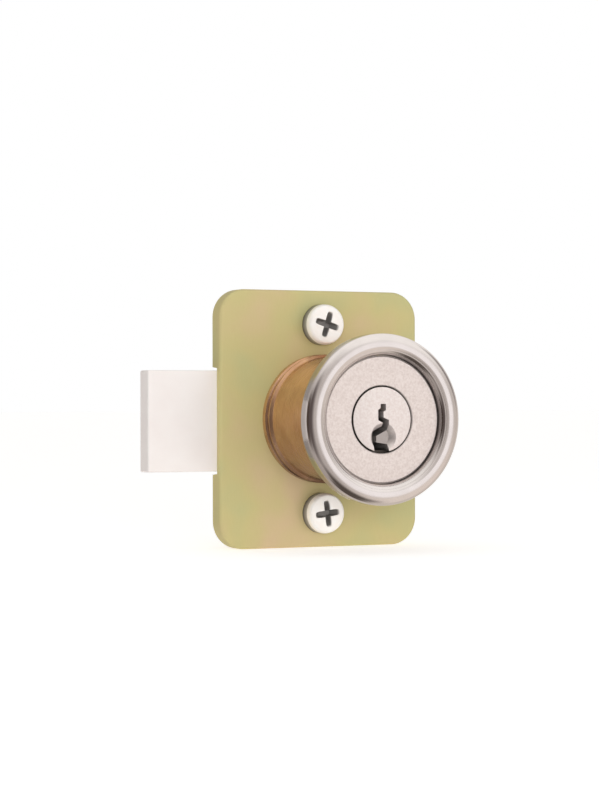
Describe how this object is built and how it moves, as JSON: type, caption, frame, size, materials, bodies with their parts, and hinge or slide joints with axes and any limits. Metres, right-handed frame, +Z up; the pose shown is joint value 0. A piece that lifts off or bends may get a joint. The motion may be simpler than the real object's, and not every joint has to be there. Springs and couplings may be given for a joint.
{
  "type": "drawer lock",
  "caption": "Drawer lock: flat plate with a round brass barrel and chrome trim ring in front, a keyed plug, and a square bolt that slides out sideways behind the plate.",
  "frame": {"origin": "on the barrel's axis, at the front face of the plate", "axes": "-Y forward out of the drawer along the barrel, +Y back into the drawer, -X the way the bolt is thrown, +Z up"},
  "size_m": [0.0509, 0.0398, 0.0444],
  "materials": {
    "yellow_zinc": "yellow zinc plate on steel sheet, satin",
    "plain_steel": "plain machined steel",
    "bright_zinc": "bright zinc plate",
    "satin_zinc": "satin zinc plate",
    "satin_nickel": "satin nickel plate on brass",
    "brass": "turned brass",
    "chrome": "polished",
    "spring_steel": "drawn spring wire and strip",
    "nickel_silver": "turned nickel silver"
  },
  "bodies": {
    "lock_case": {"front_plate": "yellow_zinc", "case_box": "yellow_zinc", "post_upper": "plain_steel", "post_lower": "plain_steel", "cylinder_body": "satin_nickel", "barrel_sleeve": "brass", "trim_ring": "chrome", "screw_upper": "bright_zinc", "screw_lower": "bright_zinc", "pin_spring_1": "spring_steel", "pin_spring_2": "spring_steel", "pin_spring_3": "spring_steel", "pin_spring_4": "spring_steel", "pin_spring_5": "spring_steel"},
    "plug": {"plug": "satin_nickel", "plug_clip": "spring_steel", "cam": "plain_steel", "drive_pin": "plain_steel", "cam_washer": "plain_steel", "cam_screw": "bright_zinc"},
    "bolt": {"bolt": "satin_zinc"},
    "key_pin_1": {"key_pin_1": "brass"},
    "driver_pin_1": {"driver_pin_1": "nickel_silver"},
    "key_pin_2": {"key_pin_2": "brass"},
    "driver_pin_2": {"driver_pin_2": "nickel_silver"},
    "key_pin_3": {"key_pin_3": "brass"},
    "driver_pin_3": {"driver_pin_3": "nickel_silver"},
    "key_pin_4": {"key_pin_4": "brass"},
    "driver_pin_4": {"driver_pin_4": "nickel_silver"},
    "key_pin_5": {"key_pin_5": "brass"},
    "driver_pin_5": {"driver_pin_5": "nickel_silver"}
  },
  "joints": [
    {"name": "plug_turn", "type": "hinge", "parent": "lock_case", "child": "plug", "pos_m": [0, 0, 0], "axis": [0, 1, 0], "range_deg": [0, 90]},
    {"name": "bolt_slide", "type": "slide", "parent": "lock_case", "child": "bolt", "axis": [1, 0, 0], "range_m": [0, 0.0127]},
    {"name": "key_pin_1_slide", "type": "slide", "parent": "plug", "child": "key_pin_1", "axis": [0, 0, 1], "range_m": [-0.0016, 0]},
    {"name": "driver_pin_1_slide", "type": "slide", "parent": "lock_case", "child": "driver_pin_1", "axis": [0, 0, 1], "range_m": [-0.0016, 0], "deforming": ["pin_spring_1"]},
    {"name": "key_pin_2_slide", "type": "slide", "parent": "plug", "child": "key_pin_2", "axis": [0, 0, 1], "range_m": [-0.0007, 0]},
    {"name": "driver_pin_2_slide", "type": "slide", "parent": "lock_case", "child": "driver_pin_2", "axis": [0, 0, 1], "range_m": [-0.0007, 0], "deforming": ["pin_spring_2"]},
    {"name": "key_pin_3_slide", "type": "slide", "parent": "plug", "child": "key_pin_3", "axis": [0, 0, 1], "range_m": [-0.00205, 0]},
    {"name": "driver_pin_3_slide", "type": "slide", "parent": "lock_case", "child": "driver_pin_3", "axis": [0, 0, 1], "range_m": [-0.00205, 0], "deforming": ["pin_spring_3"]},
    {"name": "key_pin_4_slide", "type": "slide", "parent": "plug", "child": "key_pin_4", "axis": [0, 0, 1], "range_m": [-0.00115, 0]},
    {"name": "driver_pin_4_slide", "type": "slide", "parent": "lock_case", "child": "driver_pin_4", "axis": [0, 0, 1], "range_m": [-0.00115, 0], "deforming": ["pin_spring_4"]},
    {"name": "key_pin_5_slide", "type": "slide", "parent": "plug", "child": "key_pin_5", "axis": [0, 0, 1], "range_m": [-0.0016, 0]},
    {"name": "driver_pin_5_slide", "type": "slide", "parent": "lock_case", "child": "driver_pin_5", "axis": [0, 0, 1], "range_m": [-0.0016, 0], "deforming": ["pin_spring_5"]}
  ],
  "couplings": [
    {"joint": "plug_turn", "follows": "bolt_slide", "rad_per_m": 123.68},
    {"joint": "driver_pin_1_slide", "follows": "key_pin_1_slide", "ratio": 1},
    {"joint": "driver_pin_2_slide", "follows": "key_pin_2_slide", "ratio": 1},
    {"joint": "driver_pin_3_slide", "follows": "key_pin_3_slide", "ratio": 1},
    {"joint": "driver_pin_4_slide", "follows": "key_pin_4_slide", "ratio": 1},
    {"joint": "driver_pin_5_slide", "follows": "key_pin_5_slide", "ratio": 1}
  ]
}
